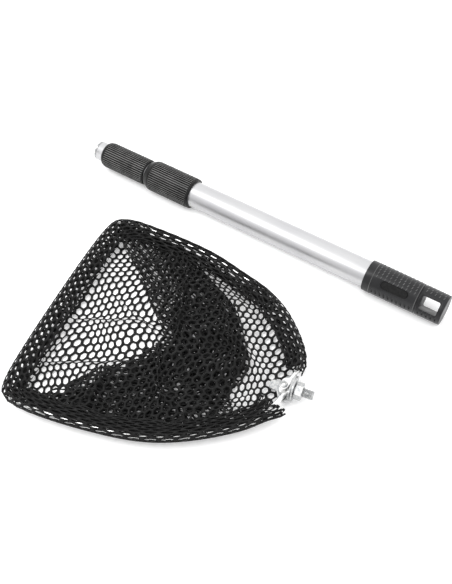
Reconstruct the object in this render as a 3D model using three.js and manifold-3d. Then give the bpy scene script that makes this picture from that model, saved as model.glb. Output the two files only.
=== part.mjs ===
// A small telescopic landing and skimmer net, lying ready to be screwed together.
// The twist-lock handle lies along X with its threaded tip at the -X end, and the
// hoop with its net lies beside it on -Y. Millimetres, +Z up, standing on z = 0 with
// the origin under the middle of the whole object's box.
import * as THREE from 'three';
import { mergeVertices } from 'three/addons/utils/BufferGeometryUtils.js';
import Module from 'manifold-3d';

const wasm = await Module();
wasm.setup();

// ---- driving dimensions -------------------------------------------------------

const FACETS = 32;               // sides of every round piece
const GAP = 0.3;                 // clearance between pieces that touch
const WALL = 1;                  // wall of the three handle tubes
const OVERRUN = 1;               // how far a cut runs past the surface it opens
const OVERLAP = 0.5;             // how far the lengths of one turned piece run together

// Handle: stations are distances from its tip along the handle's axis.
const HANDLE_LENGTH = 375;
const OUTER_RADIUS = 12.5;       // 25 mm tube
const MIDDLE_RADIUS = 11;        // 22 mm tube
const INNER_RADIUS = 9.5;        // 19 mm tube
const OUTER_COLLAR_RADIUS = 15;
const MIDDLE_COLLAR_RADIUS = 12.8;
const MIDDLE_COLLAR_FRONT = 9.5;
const MIDDLE_COLLAR_REAR = 61.2;
const OUTER_COLLAR_FRONT = 62.4;
const OUTER_COLLAR_REAR = 115;
const COLLAR_LIP = 3.5;          // front lip that guides the next tube
const OUTER_RIBS = 44;
const MIDDLE_RIBS = 38;
const RIB_HEIGHT = 0.45;
const MIDDLE_TUBE_REAR = 330;
const INNER_TUBE_REAR = 300;

// Twist locks: a split ring on an eccentric journal inside the tube outside it.
const LOCK_SPIGOT = 13;          // plug length held inside its own tube
const LOCK_FLANGE = 2.4;
const LOCK_JOURNAL = 10;
const LOCK_OFFSET = 0.9;         // journal axis above the handle axis
const LOCK_PLAY = 0.95;          // ring bore beyond the journal, taken up by a twist
const RING_SPLIT = 2.5;

// Threaded socket in the tip, for the M8 stud of the net.
const THREAD_RADIUS = 4;
const THREAD_BORE_RADIUS = 3.4;
const SOCKET_DEPTH = 12;
const SOCKET_LENGTH = 20;
const SOCKET_FLANGE = 2;

// Moulded grip, turned about the handle so that its flat marks face up and outward.
const GRIP_FRONT = 301;
const GRIP_FRONT_RADIUS = 14.4;
const GRIP_REAR_RADIUS = 13.7;
const GRIP_BORE_DEPTH = 48;
const GRIP_ROLL = THREE.MathUtils.degToRad(50);
const SLOT_LENGTH = 16;
const SLOT_WIDTH = 12.5;
const SLOT_CENTRE = 362.5;
const RECESS_MARGIN = 2.6;
const RECESS_DEPTH = 2.4;
const INLAY_CENTRE = 330;
const INLAY_LENGTH = 26;
const INLAY_WIDTH = 8;
const INLAY_DEPTH = 1.2;

// Net: its own frame has +X along the stud, +Y across, and the hoop in z = 0.
const HUB_X = 300.5;
const HUB_Y = -137.6;
const HOOP_HEIGHT = 12;
const NET_TURN = THREE.MathUtils.degToRad(9.75);
const ROD_RADIUS = 2;
const EYE_RADIUS = 4;
const EYE_X = -5.6;
const EYE_THICKNESS = 2.1;
const RIVET_RADIUS = 1.9;
const ROD_START = { x: -2.4, y: 7.4 };
// The rod passes through these points, from its far end at the hub round to its near end.
const HOOP_POINTS = [
  [ROD_START.x, ROD_START.y], [-0.4, 18], [-2.1, 33], [-27, 65], [-51, 82], [-83, 94],
  [-118, 104.5], [-181, 111.5], [-200, 111], [-210.6, 106.5], [-214.2, 96], [-216.8, 2],
  [-213.4, -80], [-209.4, -91.6], [-199, -96], [-136, -94], [-81, -82.5], [-33.4, -55],
  [-12, -34], [ROD_START.x, -ROD_START.y],
];
const HOOP_STEP = 4;             // length of each facet along the rod and the hem
const PLATE_THICKNESS = 1.8;
const PLATE_TOP = -2.8;
const PLATE_LENGTH = 18;
const PLATE_WIDTH = 24;
const TONGUE_WIDTH = 9;
const WEB_FRONT = 2.2;
const WEB_THICKNESS = 1.5;
const WEB_TOP = 8;
const WASHER_RADIUS = 11;
const WASHER_THICKNESS = 1.6;
const NUT_ACROSS_FLATS = 13;
const NUT_THICKNESS = 6.5;
const STUD_END = 20;

// Net fabric, as plain solids: a hem sleeve round the rod and a sack below it.
const HEM_RADIUS = 4.2;
const HEM_BORE_RADIUS = 3;
const HEM_START = 10;            // length of rod left bare beside the hub
const BAG_THICKNESS = 2;
const BAG_RIM_Z = -4.6;
const BAG_HUB_Z = -6.6;          // the rim dips under the bracket and its rivet
const BAG_RINGS = 8;
const BAG_FLOOR_Z = -HOOP_HEIGHT + BAG_THICKNESS;
const PILE_HEIGHT = 9.5;
const PILE_X = -92;
const PILE_Y = -3;
const PILE_SPREAD = 42;
const BAG_MIDDLE = { x: -110, y: 6 };

// ---- materials ------------------------------------------------------------------

function material(color, roughness, metalness) {
  return new THREE.MeshStandardMaterial({ color, roughness, metalness });
}
const anodised = material(0xd9dadc, 0.34, 0.9);
const zincPlate = material(0xc9ccd0, 0.3, 0.95);
const collarPlastic = material(0x2a2a2b, 0.5, 0);
const gripPlastic = material(0x26272a, 0.45, 0);
const inlayRubber = material(0x171819, 0.75, 0);
const lockPlastic = material(0xe6e3da, 0.5, 0);
const netting = material(0x141414, 0.8, 0);

// ---- solids ---------------------------------------------------------------------

// A closed three.js geometry as a manifold solid.
function solid(geometry) {
  const bare = geometry.index ? geometry.toNonIndexed() : geometry.clone();
  bare.deleteAttribute('normal');
  bare.deleteAttribute('uv');
  const merged = mergeVertices(bare, 1e-4);
  return new wasm.Manifold(new wasm.Mesh({
    numProp: 3,
    vertProperties: new Float32Array(merged.attributes.position.array),
    triVerts: new Uint32Array(merged.index.array),
  }));
}

// A manifold solid back as a three.js geometry.
function geometryOf(body) {
  const mesh = body.getMesh();
  const geometry = new THREE.BufferGeometry();
  const points = new Float32Array(mesh.vertProperties);
  geometry.setAttribute('position', new THREE.BufferAttribute(points, 3));
  geometry.setIndex(new THREE.BufferAttribute(new Uint32Array(mesh.triVerts), 1));
  geometry.computeVertexNormals();
  return geometry;
}

// A round solid about the X axis from [station, radius] pairs, given from -X to +X.
function turned(profile) {
  const points = profile.map(([x, radius]) => new THREE.Vector2(radius, x));
  const geometry = new THREE.LatheGeometry(points, FACETS);
  geometry.rotateZ(-Math.PI / 2);
  return geometry;
}

// A solid bar about the X axis: the profile is closed down to the axis at both ends.
function bar(profile) {
  const first = profile[0][0];
  const last = profile[profile.length - 1][0];
  return solid(turned([[first, 0], ...profile, [last, 0]]));
}

// A straight round bar about a line parallel to X.
function rod(from, to, radius, lift = 0) {
  const body = bar([[from, radius], [to, radius]]);
  return lift === 0 ? body : body.translate([0, 0, lift]);
}

function tube(from, to, radius) {
  return rod(from, to, radius).subtract(rod(from - OVERRUN, to + OVERRUN, radius - WALL));
}

// A flat outline in XY, extruded from z = low to z = high.
function plate(shape, low, high, curveSegments = 8) {
  const geometry = new THREE.ExtrudeGeometry(shape, {
    depth: high - low, bevelEnabled: false, curveSegments,
  });
  geometry.translate(0, 0, low);
  return solid(geometry);
}

// A box from its two opposite corners.
function block(low, high) {
  const size = high.map((value, axis) => value - low[axis]);
  const geometry = new THREE.BoxGeometry(...size);
  geometry.translate(...low.map((value, axis) => value + size[axis] / 2));
  return solid(geometry);
}

// A stadium outline, length along X, centred on (x, 0).
function stadium(x, length, width) {
  const shape = new THREE.Shape();
  const reach = (length - width) / 2;
  shape.absarc(x + reach, 0, width / 2, -Math.PI / 2, Math.PI / 2);
  shape.absarc(x - reach, 0, width / 2, Math.PI / 2, Math.PI * 1.5);
  return shape;
}

function named(name, body, finish) {
  const mesh = new THREE.Mesh(geometryOf(body), finish);
  mesh.name = name;
  return mesh;
}

// ---- handle -----------------------------------------------------------------------

// Longitudinal ribs as a toothed sleeve, for the ribbed length of a collar.
function ribbedSleeve(from, to, radius, ribs) {
  const shape = new THREE.Shape();
  const steps = ribs * 4;
  for (let step = 0; step < steps; step += 1) {
    const angle = (step / steps) * Math.PI * 2;
    const reach = step % 4 < 2 ? radius : radius - RIB_HEIGHT;
    const point = [reach * Math.cos(angle), reach * Math.sin(angle)];
    if (step === 0) shape.moveTo(...point);
    else shape.lineTo(...point);
  }
  const geometry = new THREE.ExtrudeGeometry(shape, { depth: to - from, bevelEnabled: false });
  geometry.rotateY(Math.PI / 2);
  geometry.translate(from, 0, 0);
  return solid(geometry);
}

// The outer collar: a smooth tapered nose, then ribs to its rear edge.
function outerCollar() {
  const noseEnd = OUTER_COLLAR_FRONT + 6;
  const core = bar([
    [OUTER_COLLAR_FRONT, MIDDLE_COLLAR_RADIUS],
    [noseEnd, OUTER_COLLAR_RADIUS - RIB_HEIGHT / 2],
    [OUTER_COLLAR_REAR, OUTER_COLLAR_RADIUS - RIB_HEIGHT - 0.1],
  ]);
  const ribs = ribbedSleeve(noseEnd, OUTER_COLLAR_REAR, OUTER_COLLAR_RADIUS, OUTER_RIBS);
  const lipEnd = OUTER_COLLAR_FRONT + COLLAR_LIP;
  const tubeBore = rod(lipEnd, OUTER_COLLAR_REAR + OVERRUN, OUTER_RADIUS + GAP);
  const lipBore = rod(OUTER_COLLAR_FRONT - OVERRUN, OUTER_COLLAR_REAR, MIDDLE_RADIUS + GAP);
  return core.add(ribs).subtract(tubeBore).subtract(lipBore);
}

// The smaller collar: a rounded nose, ribs, and a plain band where it meets the outer collar.
function middleCollar() {
  const radius = MIDDLE_COLLAR_RADIUS;
  const ribStart = MIDDLE_COLLAR_FRONT + 4;
  const core = bar([
    [MIDDLE_COLLAR_FRONT, radius - 1.9],
    [MIDDLE_COLLAR_FRONT + 1.2, radius - 0.8],
    [ribStart, radius - RIB_HEIGHT / 2],
    [MIDDLE_COLLAR_REAR, radius - RIB_HEIGHT - 0.1],
  ]);
  const ribs = ribbedSleeve(ribStart, MIDDLE_COLLAR_REAR - 1.5, radius, MIDDLE_RIBS);
  const lipEnd = MIDDLE_COLLAR_FRONT + COLLAR_LIP;
  const tubeBore = rod(lipEnd, MIDDLE_COLLAR_REAR + OVERRUN, MIDDLE_RADIUS + GAP);
  const lipBore = rod(MIDDLE_COLLAR_FRONT - OVERRUN, MIDDLE_COLLAR_REAR, INNER_RADIUS + GAP);
  return core.add(ribs).subtract(tubeBore).subtract(lipBore);
}

// The plug in the rear of a sliding tube: spigot, flange, eccentric journal and end disc.
function lockPlug(tubeRear, tubeRadius) {
  const spigot = rod(tubeRear - LOCK_SPIGOT, tubeRear + OVERLAP, tubeRadius - WALL - GAP);
  const flangeStart = tubeRear + GAP;
  const flangeEnd = flangeStart + LOCK_FLANGE;
  const journalEnd = flangeEnd + LOCK_JOURNAL;
  const flange = rod(flangeStart, flangeEnd, tubeRadius - 0.2);
  const journal = rod(
    flangeEnd - OVERLAP, journalEnd + OVERLAP, journalRadius(tubeRadius), LOCK_OFFSET,
  );
  const disc = rod(journalEnd, journalEnd + LOCK_FLANGE, tubeRadius - WALL);
  return spigot.add(flange).add(journal).add(disc);
}

function journalRadius(tubeRadius) {
  return tubeRadius - 4.6;
}

// The split ring on the journal: it grips the bore of the tube outside it.
function lockRing(tubeRear, tubeRadius) {
  const start = tubeRear + GAP + LOCK_FLANGE + GAP;
  const end = start + LOCK_JOURNAL - 2 * GAP;
  const bore = journalRadius(tubeRadius) + LOCK_PLAY;
  const split = block(
    [start - OVERRUN, -RING_SPLIT / 2, -tubeRadius * 2], [end + OVERRUN, RING_SPLIT / 2, 0],
  );
  return rod(start, end, tubeRadius + 0.2)
    .subtract(rod(start - OVERRUN, end + OVERRUN, bore, LOCK_OFFSET))
    .subtract(split);
}

// The threaded insert, with a flange that covers the end of the inner tube.
function tipSocket() {
  const insertRadius = INNER_RADIUS - WALL - GAP;
  const chamfer = 0.6;
  const body = bar([
    [0, INNER_RADIUS - chamfer],
    [chamfer, INNER_RADIUS],
    [SOCKET_FLANGE, INNER_RADIUS],
    [SOCKET_FLANGE, insertRadius],
    [SOCKET_LENGTH, insertRadius],
  ]);
  return body.subtract(rod(-OVERRUN, SOCKET_DEPTH, THREAD_BORE_RADIUS));
}

// The inner tube, with the punched dimple that keeps the insert from turning.
function innerTube() {
  const dimple = new THREE.ConeGeometry(1.1, 1.2, 8);
  dimple.rotateX(-Math.PI / 2);
  dimple.translate(4.6, 0, INNER_RADIUS - 0.1);
  const turn = THREE.MathUtils.radToDeg(GRIP_ROLL);
  return tube(SOCKET_FLANGE + GAP, INNER_TUBE_REAR, INNER_RADIUS)
    .subtract(solid(dimple).rotate([turn, 0, 0]));
}

// Everything cut into the grip's face, with the face turned up to +Z.
function gripCuts() {
  const slot = roundedBox(SLOT_CENTRE, SLOT_LENGTH, SLOT_WIDTH, 1.6);
  const recess = roundedBox(
    SLOT_CENTRE, SLOT_LENGTH + RECESS_MARGIN, SLOT_WIDTH + 2 * RECESS_MARGIN, 2.2,
  );
  const floor = GRIP_REAR_RADIUS - RECESS_DEPTH;
  const through = plate(slot, -GRIP_FRONT_RADIUS * 2, GRIP_FRONT_RADIUS * 2, 3);
  const upper = plate(recess, floor, GRIP_FRONT_RADIUS * 2, 3);
  const lower = plate(recess, -GRIP_FRONT_RADIUS * 2, -floor, 3);
  const pocket = plate(
    stadium(INLAY_CENTRE, INLAY_LENGTH, INLAY_WIDTH),
    GRIP_FRONT_RADIUS - INLAY_DEPTH - 0.4, GRIP_FRONT_RADIUS * 2,
  );
  return through.add(upper).add(lower).add(pocket);
}

// A rectangle with rounded corners, length along X, centred on (x, 0).
function roundedBox(x, length, width, corner) {
  const shape = new THREE.Shape();
  const right = x + length / 2 - corner;
  const left = x - length / 2 + corner;
  const top = width / 2 - corner;
  shape.absarc(right, top, corner, 0, Math.PI / 2);
  shape.absarc(left, top, corner, Math.PI / 2, Math.PI);
  shape.absarc(left, -top, corner, Math.PI, Math.PI * 1.5);
  shape.absarc(right, -top, corner, Math.PI * 1.5, Math.PI * 2);
  return shape;
}

function grip() {
  const edge = 0.8;
  const body = bar([
    [GRIP_FRONT, GRIP_FRONT_RADIUS - edge],
    [GRIP_FRONT + edge, GRIP_FRONT_RADIUS],
    [HANDLE_LENGTH - edge, GRIP_REAR_RADIUS],
    [HANDLE_LENGTH, GRIP_REAR_RADIUS - edge],
  ]);
  const bore = rod(GRIP_FRONT - OVERRUN, GRIP_FRONT + GRIP_BORE_DEPTH, OUTER_RADIUS + GAP);
  const roll = THREE.MathUtils.radToDeg(GRIP_ROLL);
  return body.subtract(bore).subtract(gripCuts().rotate([roll, 0, 0]));
}

// The soft inlay that sits in the pocket on the grip's face.
function gripInlay() {
  const outline = stadium(INLAY_CENTRE, INLAY_LENGTH - 2 * GAP, INLAY_WIDTH - 2 * GAP);
  const pocketFloor = GRIP_FRONT_RADIUS - INLAY_DEPTH - 0.4;
  const slab = plate(outline, pocketFloor + GAP, GRIP_FRONT_RADIUS);
  const skin = rod(GRIP_FRONT, HANDLE_LENGTH, GRIP_REAR_RADIUS + 0.25);
  return slab.intersect(skin).rotate([THREE.MathUtils.radToDeg(GRIP_ROLL), 0, 0]);
}

function handle() {
  const group = new THREE.Group();
  const outerRear = GRIP_FRONT + GRIP_BORE_DEPTH - GAP;
  const outerFront = OUTER_COLLAR_FRONT + COLLAR_LIP + GAP;
  const middleFront = MIDDLE_COLLAR_FRONT + COLLAR_LIP + GAP;
  group.add(
    named('outer_tube', tube(outerFront, outerRear, OUTER_RADIUS), anodised),
    named('middle_tube', tube(middleFront, MIDDLE_TUBE_REAR, MIDDLE_RADIUS), anodised),
    named('inner_tube', innerTube(), anodised),
    named('outer_collar', outerCollar(), collarPlastic),
    named('middle_collar', middleCollar(), collarPlastic),
    named('middle_lock_plug', lockPlug(MIDDLE_TUBE_REAR, MIDDLE_RADIUS), lockPlastic),
    named('middle_lock_ring', lockRing(MIDDLE_TUBE_REAR, MIDDLE_RADIUS), lockPlastic),
    named('inner_lock_plug', lockPlug(INNER_TUBE_REAR, INNER_RADIUS), lockPlastic),
    named('inner_lock_ring', lockRing(INNER_TUBE_REAR, INNER_RADIUS), lockPlastic),
    named('tip_socket', tipSocket(), zincPlate),
    named('grip', grip(), gripPlastic),
    named('grip_inlay', gripInlay(), inlayRubber),
  );
  group.position.z = OUTER_COLLAR_RADIUS;
  return group;
}

// ---- net ----------------------------------------------------------------------------

// Evenly spaced points along the hoop, from beside the hub round to the other side of it.
// `bare` leaves out that length at both ends, and `inset` moves the line inward.
function hoopLine(step, bare = 0, inset = 0) {
  const bends = HOOP_POINTS.map(([x, y]) => new THREE.Vector3(x, y, 0));
  const curve = new THREE.CatmullRomCurve3(bends, false, 'centripetal');
  const length = curve.getLength();
  const run = length - 2 * bare;
  const count = Math.round(run / step);
  const points = [];
  for (let index = 0; index <= count; index += 1) {
    const share = (bare + (run * index) / count) / length;
    const at = curve.getPointAt(share);
    const ahead = curve.getTangentAt(share);
    points.push(new THREE.Vector2(at.x - ahead.y * inset, at.y + ahead.x * inset));
  }
  return points;
}

// A round bar bent along a line of flat points.
function bentRod(points, radius, sides) {
  const line = points.map(({ x, y }) => new THREE.Vector3(x, y, 0));
  const section = new THREE.Shape();
  section.absarc(0, 0, radius, 0, Math.PI * 2);
  return solid(new THREE.ExtrudeGeometry(section, {
    steps: line.length - 1,
    curveSegments: sides,
    extrudePath: new THREE.CatmullRomCurve3(line, false, 'centripetal'),
  }));
}

// One flattened end of the rod: an eye round the rivet, with a neck back to the round rod.
function rodEye(side) {
  const low = side > 0 ? GAP / 2 : -GAP / 2 - EYE_THICKNESS;
  const eye = new THREE.Shape();
  eye.absarc(EYE_X, 0, EYE_RADIUS, 0, Math.PI * 2);
  const neck = new THREE.Shape([
    new THREE.Vector2(EYE_X + EYE_RADIUS, 0),
    new THREE.Vector2(ROD_START.x + ROD_RADIUS - 0.3, side * (ROD_START.y + 1)),
    new THREE.Vector2(ROD_START.x - ROD_RADIUS + 0.3, side * (ROD_START.y + 1)),
    new THREE.Vector2(EYE_X - EYE_RADIUS + 0.6, side * 1.6),
  ]);
  return plate(eye, low, low + EYE_THICKNESS).add(plate(neck, low, low + EYE_THICKNESS));
}

function hoopRod() {
  const rivetHole = roundUpright(EYE_X, RIVET_RADIUS + GAP, -8, 8);
  return bentRod(hoopLine(HOOP_STEP), ROD_RADIUS, 3)
    .add(rodEye(1))
    .add(rodEye(-1))
    .subtract(rivetHole);
}

// A round upright bar on the net's axis.
function roundUpright(x, radius, low, high) {
  const shape = new THREE.Shape();
  shape.absarc(x, 0, radius, 0, Math.PI * 2);
  return plate(shape, low, high);
}

function hubRivet() {
  const plateBottom = PLATE_TOP - PLATE_THICKNESS;
  const eyesTop = GAP / 2 + EYE_THICKNESS + GAP;
  return roundUpright(EYE_X, RIVET_RADIUS, plateBottom - 1, eyesTop + 1)
    .add(roundUpright(EYE_X, RIVET_RADIUS + 1.5, eyesTop, eyesTop + 1.1))
    .add(roundUpright(EYE_X, RIVET_RADIUS + 1.2, plateBottom - GAP - 1, plateBottom - GAP));
}

// The bracket: a tapering base plate under the rod ends, folded up into a web for the stud.
function hubBracket() {
  const webBack = WEB_FRONT - WEB_THICKNESS;
  const tongueX = -PLATE_LENGTH + TONGUE_WIDTH / 2;
  const shape = new THREE.Shape();
  shape.moveTo(WEB_FRONT, -PLATE_WIDTH / 2);
  shape.lineTo(WEB_FRONT, PLATE_WIDTH / 2);
  shape.lineTo(webBack - 5, PLATE_WIDTH / 2);
  shape.lineTo(tongueX + 4, TONGUE_WIDTH / 2);
  shape.absarc(tongueX, 0, TONGUE_WIDTH / 2, Math.PI / 2, Math.PI * 1.5);
  shape.lineTo(tongueX + 4, -TONGUE_WIDTH / 2);
  shape.lineTo(webBack - 5, -PLATE_WIDTH / 2);
  const base = plate(shape, PLATE_TOP - PLATE_THICKNESS, PLATE_TOP);
  const webReach = PLATE_WIDTH / 2 - 2;
  const web = block(
    [webBack, -webReach, PLATE_TOP - PLATE_THICKNESS], [WEB_FRONT, webReach, WEB_TOP],
  );
  return base.add(web)
    .subtract(rod(webBack - OVERRUN, WEB_FRONT + OVERRUN, THREAD_RADIUS + GAP))
    .subtract(roundUpright(EYE_X, RIVET_RADIUS + GAP, -12, 0));
}

function studNut() {
  const nut = new THREE.Shape();
  const corner = NUT_ACROSS_FLATS / 2 / Math.cos(Math.PI / 6);
  for (let side = 0; side < 6; side += 1) {
    const angle = (side * Math.PI) / 3;
    const point = [corner * Math.cos(angle), corner * Math.sin(angle)];
    if (side === 0) nut.moveTo(...point);
    else nut.lineTo(...point);
  }
  const geometry = new THREE.ExtrudeGeometry(nut, { depth: NUT_THICKNESS, bevelEnabled: false });
  geometry.rotateY(Math.PI / 2);
  const start = nutStart();
  geometry.translate(start, 0, 0);
  const chamfer = bar([
    [start - 0.1, corner - 1.2],
    [start + 1, corner],
    [start + NUT_THICKNESS - 1, corner],
    [start + NUT_THICKNESS + 0.1, corner - 1.2],
  ]);
  return solid(geometry).intersect(chamfer)
    .subtract(rod(start - OVERRUN, start + NUT_THICKNESS + OVERRUN, THREAD_RADIUS + GAP));
}

function washerStart() {
  return WEB_FRONT + GAP;
}

function nutStart() {
  return washerStart() + WASHER_THICKNESS + GAP;
}

function studWasher() {
  const start = washerStart();
  return rod(start, start + WASHER_THICKNESS, WASHER_RADIUS)
    .subtract(rod(start - OVERRUN, start + WASHER_THICKNESS + OVERRUN, THREAD_RADIUS + GAP));
}

function hubStud() {
  return bar([
    [WEB_FRONT - WEB_THICKNESS, THREAD_RADIUS],
    [STUD_END - 0.8, THREAD_RADIUS],
    [STUD_END, THREAD_RADIUS - 0.8],
  ]);
}

// The hem: the edge of the netting, folded over the rod and sewn into a sleeve.
function netHem() {
  const sleeve = bentRod(hoopLine(HOOP_STEP, HEM_START), HEM_RADIUS, 3);
  return sleeve.subtract(bentRod(hoopLine(HOOP_STEP, HEM_START - OVERRUN), HEM_BORE_RADIUS, 3));
}

// Height of the sack's inner surface at `share` of the way from its middle to its rim.
function bagHeight(x, y, share) {
  const rise = THREE.MathUtils.smoothstep(share, 0.8, 1);
  const pastHub = THREE.MathUtils.smoothstep(Math.hypot(x, y), PLATE_LENGTH, 2 * PLATE_LENGTH);
  const rim = THREE.MathUtils.lerp(BAG_HUB_Z, BAG_RIM_Z, pastHub);
  const wall = THREE.MathUtils.lerp(BAG_FLOOR_Z, rim, rise);
  const reach = Math.hypot((x - PILE_X) / 1.15, y - PILE_Y) / PILE_SPREAD;
  const pile = PILE_HEIGHT * Math.exp(-2 * reach * reach) * (1 - rise);
  return wall + pile;
}

// The net sack: a thin open dish with the loose netting piled in the middle.
function netBag() {
  const rim = hoopLine(14, HEM_START, 1);
  const middle = BAG_MIDDLE;
  const count = rim.length;
  const positions = [];
  for (const lower of [0, BAG_THICKNESS]) {
    positions.push(middle.x, middle.y, bagHeight(middle.x, middle.y, 0) - lower);
    for (let ring = 1; ring <= BAG_RINGS; ring += 1) {
      const share = Math.sqrt(ring / BAG_RINGS);
      for (const point of rim) {
        const x = THREE.MathUtils.lerp(middle.x, point.x, share);
        const y = THREE.MathUtils.lerp(middle.y, point.y, share);
        positions.push(x, y, bagHeight(x, y, share) - lower);
      }
    }
  }
  const layer = 1 + BAG_RINGS * count;
  const at = (ring, index) => 1 + (ring - 1) * count + (index % count);
  const faces = [];
  const quad = (a, b, c, d) => faces.push(a, c, b, a, d, c);
  for (let index = 0; index < count; index += 1) {
    faces.push(0, at(1, index), at(1, index + 1));
    faces.push(layer, layer + at(1, index + 1), layer + at(1, index));
    for (let ring = 1; ring < BAG_RINGS; ring += 1) {
      const [a, b] = [at(ring, index), at(ring, index + 1)];
      const [c, d] = [at(ring + 1, index + 1), at(ring + 1, index)];
      quad(a, b, c, d);
      quad(layer + b, layer + a, layer + d, layer + c);
    }
    const [a, b] = [at(BAG_RINGS, index), at(BAG_RINGS, index + 1)];
    quad(a, b, layer + b, layer + a);
  }
  const geometry = new THREE.BufferGeometry();
  geometry.setAttribute('position', new THREE.Float32BufferAttribute(positions, 3));
  geometry.setIndex(faces);
  return solid(geometry);
}

function net() {
  const group = new THREE.Group();
  group.add(
    named('hoop_rod', hoopRod(), zincPlate),
    named('hub_bracket', hubBracket(), zincPlate),
    named('hub_rivet', hubRivet(), zincPlate),
    named('hub_stud', hubStud(), zincPlate),
    named('stud_washer', studWasher(), zincPlate),
    named('stud_nut', studNut(), zincPlate),
    named('net_hem', netHem(), netting),
    named('net_bag', netBag(), netting),
  );
  group.position.set(HUB_X, HUB_Y, HOOP_HEIGHT);
  group.rotation.z = NET_TURN;
  return group;
}

// ---- the whole object ------------------------------------------------------------------

const skimmer = new THREE.Group();
skimmer.add(handle(), net());
skimmer.updateMatrixWorld(true);
const box = new THREE.Box3().setFromObject(skimmer, true);
skimmer.position.set(-(box.min.x + box.max.x) / 2, -(box.min.y + box.max.y) / 2, -box.min.z);

export default skimmer;
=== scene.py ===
import math

import bmesh
import bpy
import numpy as np
from mathutils import Matrix, Vector, noise


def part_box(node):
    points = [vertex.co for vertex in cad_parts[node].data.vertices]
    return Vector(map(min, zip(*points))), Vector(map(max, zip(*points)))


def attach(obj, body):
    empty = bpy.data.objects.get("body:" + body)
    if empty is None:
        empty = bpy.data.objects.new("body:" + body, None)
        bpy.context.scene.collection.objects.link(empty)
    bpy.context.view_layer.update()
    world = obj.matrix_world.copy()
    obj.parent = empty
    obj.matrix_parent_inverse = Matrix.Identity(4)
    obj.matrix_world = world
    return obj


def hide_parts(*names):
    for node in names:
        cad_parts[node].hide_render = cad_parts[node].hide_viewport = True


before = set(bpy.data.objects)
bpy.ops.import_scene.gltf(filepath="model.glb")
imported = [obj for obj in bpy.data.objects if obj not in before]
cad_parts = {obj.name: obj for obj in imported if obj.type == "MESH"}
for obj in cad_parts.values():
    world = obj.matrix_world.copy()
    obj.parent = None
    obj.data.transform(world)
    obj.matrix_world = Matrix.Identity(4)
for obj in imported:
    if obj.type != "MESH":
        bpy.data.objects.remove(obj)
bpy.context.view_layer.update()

MM = 0.001


# ---- frames --------------------

def node_centre(node):
    low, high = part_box(node)
    return (np.array(low) + np.array(high)) / 2


HANDLE_LENGTH = 375.0
tip_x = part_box("tip_socket")[0][0]
handle_axis = node_centre("outer_tube")
HANDLE = Matrix.Translation((tip_x, handle_axis[1], handle_axis[2])) @ Matrix.Scale(MM, 4)

NET_TURN = math.radians(9.75)
STUD_MIDDLE = 10.35              # middle of the stud along the net's own axis
hub = node_centre("hub_stud") - STUD_MIDDLE * MM * np.array(
    [math.cos(NET_TURN), math.sin(NET_TURN), 0.0])
NET = (Matrix.Translation(hub.tolist()) @ Matrix.Rotation(NET_TURN, 4, "Z")
       @ Matrix.Scale(MM, 4))
FLOOR_Z = -hub[2] / MM           # the floor in the net's own frame

# ---- camera, lights and floor --------------------

CAMERA_FROM_TIP = (451.0, -469.8, 600.15)
CAMERA_ELEVATION = math.radians(52)
CAMERA_AZIMUTH = math.radians(32.57)
LENS = 52.24
BRIGHT_SIDE = (-0.2, 0.35, 0.91)     # where the studio is brightest


def make_camera():
    data = bpy.data.cameras.new("camera")
    data.lens = LENS
    data.sensor_width = 36
    camera = bpy.data.objects.new("camera", data)
    bpy.context.collection.objects.link(camera)
    x, y, z = CAMERA_FROM_TIP
    camera.location = (tip_x + x * MM, handle_axis[1] + y * MM, z * MM)
    camera.rotation_euler = (math.pi / 2 - CAMERA_ELEVATION, 0, CAMERA_AZIMUTH)
    bpy.context.scene.camera = camera


def make_softbox(name, place, target, size, power):
    data = bpy.data.lights.new(name, "AREA")
    data.shape = "RECTANGLE"
    data.size, data.size_y = size
    data.energy = power
    light = bpy.data.objects.new(name, data)
    light.location = place
    light.rotation_euler = (Vector(target) - Vector(place)).to_track_quat("-Z", "Y").to_euler()
    bpy.context.collection.objects.link(light)


def make_sky():
    """A white studio: bright overhead and beyond the object, dim behind the camera."""
    world = bpy.data.worlds.new("studio")
    bpy.context.scene.world = world
    world.use_nodes = True
    nodes, links = world.node_tree.nodes, world.node_tree.links
    place = nodes.new("ShaderNodeTexCoord")
    facing = nodes.new("ShaderNodeVectorMath")
    facing.operation = "DOT_PRODUCT"
    facing.inputs[1].default_value = BRIGHT_SIDE
    spread = nodes.new("ShaderNodeMapRange")
    spread.inputs["From Min"].default_value = -1
    ramp = nodes.new("ShaderNodeValToRGB")
    low, high = ramp.color_ramp.elements
    low.position, low.color = 0.3, (0.63, 0.63, 0.635, 1)
    high.position, high.color = 0.9, (1, 1, 1, 1)
    middle = ramp.color_ramp.elements.new(0.68)
    middle.color = (0.78, 0.78, 0.785, 1)
    background = nodes["Background"]
    background.inputs["Strength"].default_value = 1.6
    links.new(place.outputs["Generated"], facing.inputs[0])
    links.new(facing.outputs["Value"], spread.inputs["Value"])
    links.new(spread.outputs["Result"], ramp.inputs["Fac"])
    links.new(ramp.outputs["Color"], background.inputs["Color"])


def make_lights():
    make_sky()
    make_softbox("key_light", (-0.45, -0.5, 1.3), (0, 0.05, 0), (0.9, 0.35), 7)
    bpy.context.scene.view_settings.view_transform = "Standard"


def make_floor():
    bpy.ops.mesh.primitive_plane_add(size=8)
    floor = bpy.context.object
    floor.name = "floor"
    paper = bpy.data.materials.new("white_paper")
    paper.use_nodes = True
    shader = paper.node_tree.nodes["Principled BSDF"]
    shader.inputs["Base Color"].default_value = (0.94, 0.94, 0.94, 1)
    shader.inputs["Roughness"].default_value = 0.9
    shader.inputs["Emission Color"].default_value = (1, 1, 1, 1)
    shader.inputs["Emission Strength"].default_value = 0.18
    floor.data.materials.append(paper)


# ---- materials --------------------

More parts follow.
